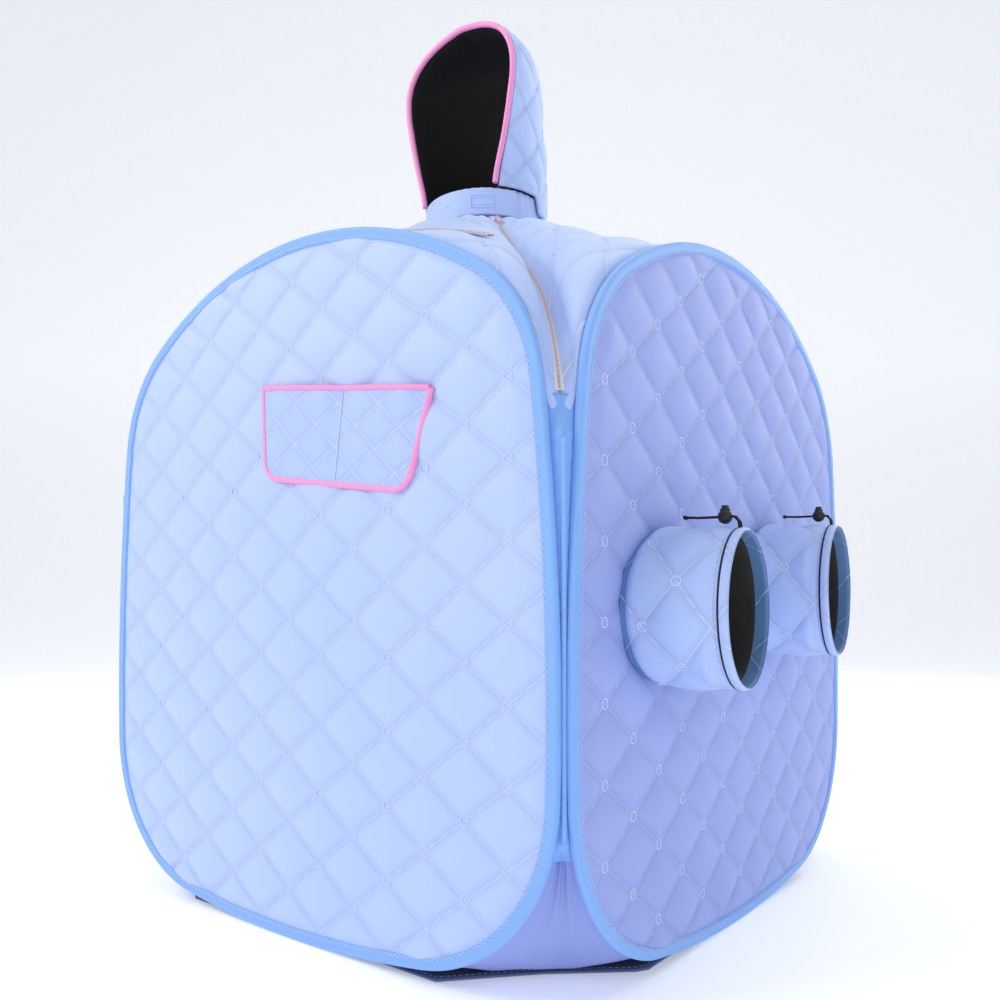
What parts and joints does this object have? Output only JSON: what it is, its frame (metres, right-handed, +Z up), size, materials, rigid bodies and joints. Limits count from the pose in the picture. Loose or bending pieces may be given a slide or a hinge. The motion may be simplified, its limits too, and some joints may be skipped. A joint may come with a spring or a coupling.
{
  "type": "portable steam sauna tent",
  "caption": "Portable steam sauna tent: square pop-up cabin of hoop-framed quilted panels with a peaked roof, face-opening hood, neck strap, arm sleeves with drawcords, zips and pocket.",
  "frame": {"origin": "ground level, on the vertical axis through the centre of the square cabin", "axes": "+Z up, front panel with the pocket faces -Y, panel with the arm sleeves faces +X"},
  "size_m": [1.0601, 0.9841, 1.4665],
  "materials": {
    "spring_steel": "oiled spring steel",
    "crimp_steel": "plated",
    "binding_tape": "woven tape",
    "side_quilt": "quilted satin",
    "side_quilt_deep": "quilted satin",
    "seam_cord": "corded seam",
    "roof_quilt": "quilted satin",
    "corner_cloth": "plain satin",
    "floor_cloth": "coated woven",
    "collar_cloth": "satin",
    "hook_tape": "hook tape",
    "loop_tape": "loop tape",
    "hood_quilt": "quilted satin",
    "black_lining": "matt black",
    "pink_piping": "satin piping",
    "zip_tape": "woven tape",
    "zip_teeth": "nylon coil",
    "zip_metal": "lacquered",
    "sleeve_quilt": "quilted satin",
    "black_cord": "braided cord",
    "black_plastic": "moulded",
    "lock_spring": "wire",
    "pocket_cloth": "quilted satin",
    "port_plastic": "moulded"
  },
  "bodies": {
    "front_frame": {"front_hoop_wire": "spring_steel", "front_hoop_ferrule": "crimp_steel", "front_binding": "binding_tape", "front_panel": "side_quilt", "corner_seam_fr": "seam_cord", "corner_seam_fl": "seam_cord", "pocket_panel": "pocket_cloth", "pocket_binding": "pink_piping"},
    "right_frame": {"right_hoop_wire": "spring_steel", "right_hoop_ferrule": "crimp_steel", "right_binding": "binding_tape", "right_panel": "side_quilt_deep", "corner_seam_br": "seam_cord", "sleeve_1_shell": "sleeve_quilt", "sleeve_1_lining": "black_lining", "sleeve_1_drawcord": "black_cord", "sleeve_2_shell": "sleeve_quilt", "sleeve_2_lining": "black_lining", "sleeve_2_drawcord": "black_cord"},
    "back_frame": {"back_hoop_wire": "spring_steel", "back_hoop_ferrule": "crimp_steel", "back_binding": "binding_tape", "back_panel": "side_quilt", "steam_port": "port_plastic", "steam_port_nut": "port_plastic"},
    "left_frame": {"left_hoop_wire": "spring_steel", "left_hoop_ferrule": "crimp_steel", "left_binding": "binding_tape", "left_panel": "side_quilt_deep", "corner_seam_bl": "seam_cord"},
    "crown": {"roof_front": "roof_quilt", "roof_right": "roof_quilt", "roof_back": "roof_quilt", "roof_left": "roof_quilt", "corner_gusset_fr": "corner_cloth", "corner_gusset_br": "corner_cloth", "corner_gusset_bl": "corner_cloth", "corner_gusset_fl": "corner_cloth", "floor_sheet": "floor_cloth", "neck_collar": "collar_cloth", "collar_loop_patches": "loop_tape", "corner_zip_tape": "zip_tape", "corner_zip_teeth": "zip_teeth", "arch_zip_tape": "zip_tape", "arch_zip_teeth": "zip_teeth"},
    "hood": {"hood_shell": "hood_quilt", "hood_lining": "black_lining", "hood_piping": "pink_piping"},
    "strap": {"neck_strap": "collar_cloth", "strap_hook_patches": "hook_tape"},
    "corner_slider": {"corner_zip_slider": "zip_metal"},
    "corner_pull": {"corner_zip_pull": "zip_metal"},
    "arch_slider": {"arch_zip_slider": "zip_metal"},
    "arch_pull": {"arch_zip_pull": "zip_metal"},
    "lock_1": {"cord_lock_1_body": "black_plastic", "cord_lock_1_spring": "lock_spring"},
    "button_1": {"cord_lock_1_button": "black_plastic"},
    "lock_2": {"cord_lock_2_body": "black_plastic", "cord_lock_2_spring": "lock_spring"},
    "button_2": {"cord_lock_2_button": "black_plastic"}
  },
  "joints": [
    {"name": "fold", "type": "hinge", "parent": "front_frame", "child": "right_frame", "pos_m": [0.4534, -0.4534, 0.428], "axis": [0, 0, 1], "range_deg": [-84, 0], "deforming": ["roof_front", "roof_right", "roof_back", "roof_left", "corner_gusset_fr", "corner_gusset_br", "corner_gusset_bl", "corner_gusset_fl", "floor_sheet", "corner_zip_tape", "corner_zip_teeth", "arch_zip_tape", "arch_zip_teeth"]},
    {"name": "fold_left", "type": "hinge", "parent": "front_frame", "child": "left_frame", "pos_m": [-0.4534, -0.4534, 0.428], "axis": [0, 0, 1], "range_deg": [-84, 0]},
    {"name": "fold_back", "type": "hinge", "parent": "right_frame", "child": "back_frame", "pos_m": [0.4534, 0.4534, 0.428], "axis": [0, 0, 1], "range_deg": [0, 84]},
    {"name": "fold_crown", "type": "hinge", "parent": "front_frame", "child": "crown", "pos_m": [0, -0.4534, 0.428], "axis": [0, 0, 1], "range_deg": [-84, 0]},
    {"name": "hood_tilt", "type": "hinge", "parent": "crown", "child": "hood", "pos_m": [0, 0.0832, 1.141], "axis": [-1, 0, 0], "range_deg": [0, 95]},
    {"name": "strap_peel", "type": "hinge", "parent": "crown", "child": "strap", "pos_m": [0.0962, -0.06783, 1.1415], "axis": [0, 0, 1], "range_deg": [0, 75]},
    {"name": "corner_zip_run", "type": "slide", "parent": "crown", "child": "corner_slider", "axis": [0.6105, -0.5695, -0.5505], "range_m": [0, 0.3]},
    {"name": "corner_pull_flip", "type": "hinge", "parent": "corner_slider", "child": "corner_pull", "pos_m": [0.10815, -0.13075, 1.09608], "axis": [-0.6821, -0.7313, 0], "range_deg": [0, 150]},
    {"name": "arch_zip_run", "type": "hinge", "parent": "crown", "child": "arch_slider", "pos_m": [0, -0.392, 0.1669], "axis": [0, 1, 0], "range_deg": [0, 18.8]},
    {"name": "arch_pull_flip", "type": "hinge", "parent": "arch_slider", "child": "arch_pull", "pos_m": [0, -0.39512, 0.99694], "axis": [0, -0.9322, -0.362], "range_deg": [0, 150]},
    {"name": "cord_lock_1_slide", "type": "slide", "parent": "right_frame", "child": "lock_1", "axis": [-0.9903, -0.1392, 0], "range_m": [0, 0.026]},
    {"name": "cord_lock_1_press", "type": "slide", "parent": "lock_1", "child": "button_1", "axis": [0, 0, -1], "range_m": [0, 0.003], "stiffness_N_per_m": 300, "springref_m": -0.003, "deforming": ["cord_lock_1_spring"]},
    {"name": "cord_lock_2_slide", "type": "slide", "parent": "right_frame", "child": "lock_2", "axis": [-0.9903, -0.1392, 0], "range_m": [0, 0.026]},
    {"name": "cord_lock_2_press", "type": "slide", "parent": "lock_2", "child": "button_2", "axis": [0, 0, -1], "range_m": [0, 0.003], "stiffness_N_per_m": 300, "springref_m": -0.003, "deforming": ["cord_lock_2_spring"]}
  ],
  "couplings": [
    {"joint": "fold_left", "follows": "fold", "ratio": 1},
    {"joint": "fold_back", "follows": "fold", "ratio": -1},
    {"joint": "fold_crown", "follows": "fold", "ratio": 1}
  ]
}
